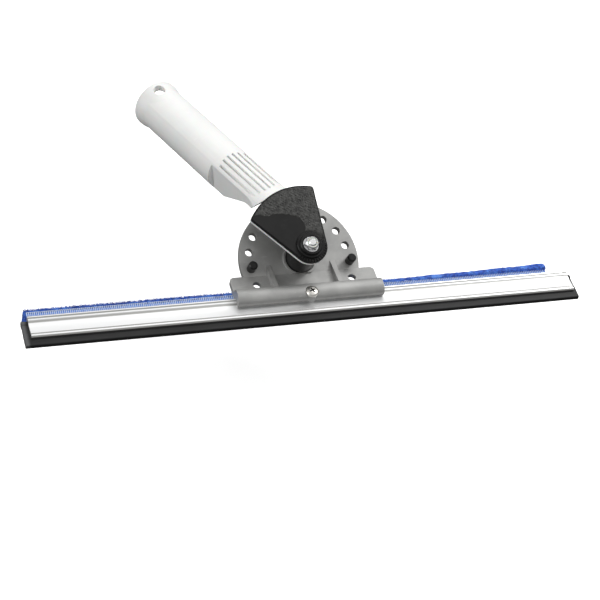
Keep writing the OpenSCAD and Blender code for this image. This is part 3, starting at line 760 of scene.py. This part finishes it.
def buildGrain(look):
    tilt = math.atan2(-axis.y, axis.z)
    swing = Matrix.Rotation(math.radians(look["swing"]), 4, "Z")
    place = Matrix.Translation(pivot) @ Matrix.Rotation(tilt, 4, "X") @ swing
    side = look["fanHalf"] + math.degrees(math.acos(look["apex"] / look["fanRadius"]))
    corners, faces = [], []
    rows, columns = look["rows"], look["columns"]
    for i in range(rows + 1):
        r = look["inner"] + (look["outer"] - look["inner"]) * i / rows
        low = readTable(look["edge"], r)
        high = side - math.degrees(math.acos(min(1.0, (look["apex"] - look["inset"]) / r)))
        for j in range(columns + 1):
            angle = math.radians(low + (high - low) * j / columns)
            x, y = r * math.sin(angle), r * math.cos(angle)
            edge = min(1.0, min(i, rows - i, j, columns - j) / look["border"])
            z = grainHeight(look, x, y, edge)
            corners.append(place @ Vector((x * mm, y * mm, z * mm)))
    for i in range(rows):
        for j in range(columns):
            a = i * (columns + 1) + j
            faces.append((a, a + 1, a + columns + 2, a + columns + 1))
    piece = newPiece("coverGrain", corners, faces, "blackGrain", "handle")
    for face in piece.data.polygons:  # an open sheet, so its faces are turned to look outwards
        if face.normal.dot(axis) < 0:
            face.flip()


buildGrain(cover)
print("cover grained")


# places and sizes are in metres, angles in degrees and powers in watts
studio = {
    "camera": {"aim": (-0.00056, -0.07328, 0.0003), "distance": 1.179, "azimuth": -26.9,
               "elevation": 46.9, "roll": 15.4, "lens": 113.6},
    "keyLight": {"at": (0.95, 0.32, 1.05), "size": 0.55, "power": 9.5,
                 "colour": (1.0, 0.997, 0.99)},
    "backPanel": {"at": (0.45, 1.15, 1.15), "size": 1.9, "power": 5.0,
                  "colour": (1.0, 1.0, 1.0)},
    "sideLight": {"at": (-1.35, -0.05, 0.42), "size": 0.9, "power": 6.5,
                  "colour": (1.0, 1.0, 0.99)},
    "surround": {"colour": (1.0, 1.0, 0.99), "below": 0.08, "above": 0.66, "dimUpTo": -0.15,
                 "brightFrom": 0.65},
    "floor": {"colour": (0.94, 0.94, 0.935), "size": 6.0, "drop": 0.046, "mottle": 0.985,
              "mottleScale": 3.0, "rough": 0.85, "shine": 0.1, "glow": 0.55},
}


def placeCamera(look):
    turn, rise = math.radians(look["azimuth"]), math.radians(look["elevation"])
    away = Vector((math.sin(turn) * math.cos(rise), -math.cos(turn) * math.cos(rise),
                   math.sin(rise)))
    camera = bpy.data.objects.new("studioCamera", bpy.data.cameras.new("studioCamera"))
    bpy.context.scene.collection.objects.link(camera)
    camera.data.lens = look["lens"]
    camera.location = Vector(look["aim"]) + away * look["distance"]
    facing = (-away).to_track_quat("-Z", "Y").to_matrix()
    roll = Matrix.Rotation(math.radians(look["roll"]), 3, "Z")
    camera.rotation_euler = (facing @ roll).to_euler()
    bpy.context.scene.camera = camera


def placeLight(name, look):
    lamp = bpy.data.lights.new(name, "AREA")
    lamp.shape = "DISK"
    lamp.size = look["size"]
    lamp.energy = look["power"]
    lamp.color = look["colour"]
    light = bpy.data.objects.new(name, lamp)
    light.location = look["at"]
    light.rotation_euler = (pivot - Vector(look["at"])).to_track_quat("-Z", "Y").to_euler()
    bpy.context.scene.collection.objects.link(light)


# the floor is low enough for the swung handle to pass above it
def layFloor(look):
    half, low = look["size"] / 2, -look["drop"]
    mesh = bpy.data.meshes.new("studioFloor")
    corners = [(-half, -half, low), (half, -half, low), (half, half, low), (-half, half, low)]
    mesh.from_pydata(corners, [], [(0, 1, 2, 3)])
    material, tree, place = newFinish("studioPaper")
    mottle = noiseOn(tree, place, look["mottleScale"], detail=2.0)
    shade = tuple(value * look["mottle"] for value in look["colour"])
    setSurface(tree, {
        "Base Color": mixColour(tree, mottle, shade, look["colour"]),
        "Roughness": look["rough"],
        "Specular IOR Level": look["shine"],
        "Emission Color": (1.0, 1.0, 1.0, 1.0),
        "Emission Strength": look["glow"],
    })
    mesh.materials.append(material)
    floor = bpy.data.objects.new("studioFloor", mesh)
    floor.visible_diffuse = False  # the white floor doesn't light or mirror in the tool
    floor.visible_glossy = False
    bpy.context.scene.collection.objects.link(floor)


# the air is bright above and dim below, so that faces turned down stay darker
def hangSurround(look):
    world = bpy.data.worlds.new("studioSurround")
    world.use_nodes = True
    tree = world.node_tree
    background = next(node for node in tree.nodes if node.type == "BACKGROUND")
    place = addNode(tree, "ShaderNodeTexCoord")
    lift = addNode(tree, "ShaderNodeMapRange", {}, {
        "Value": coordinate(tree, place, "Z"), "From Min": look["dimUpTo"],
        "From Max": look["brightFrom"], "To Min": look["below"], "To Max": look["above"]})
    background.inputs["Color"].default_value = (*look["colour"], 1.0)
    tree.links.new(lift.socket, background.inputs["Strength"])
    bpy.context.scene.world = world


placeCamera(studio["camera"])
for name in ("keyLight", "backPanel", "sideLight"):
    placeLight(name, studio[name])
layFloor(studio["floor"])
hangSurround(studio["surround"])
bpy.context.scene.view_settings.view_transform = "Standard"
print("studio set")
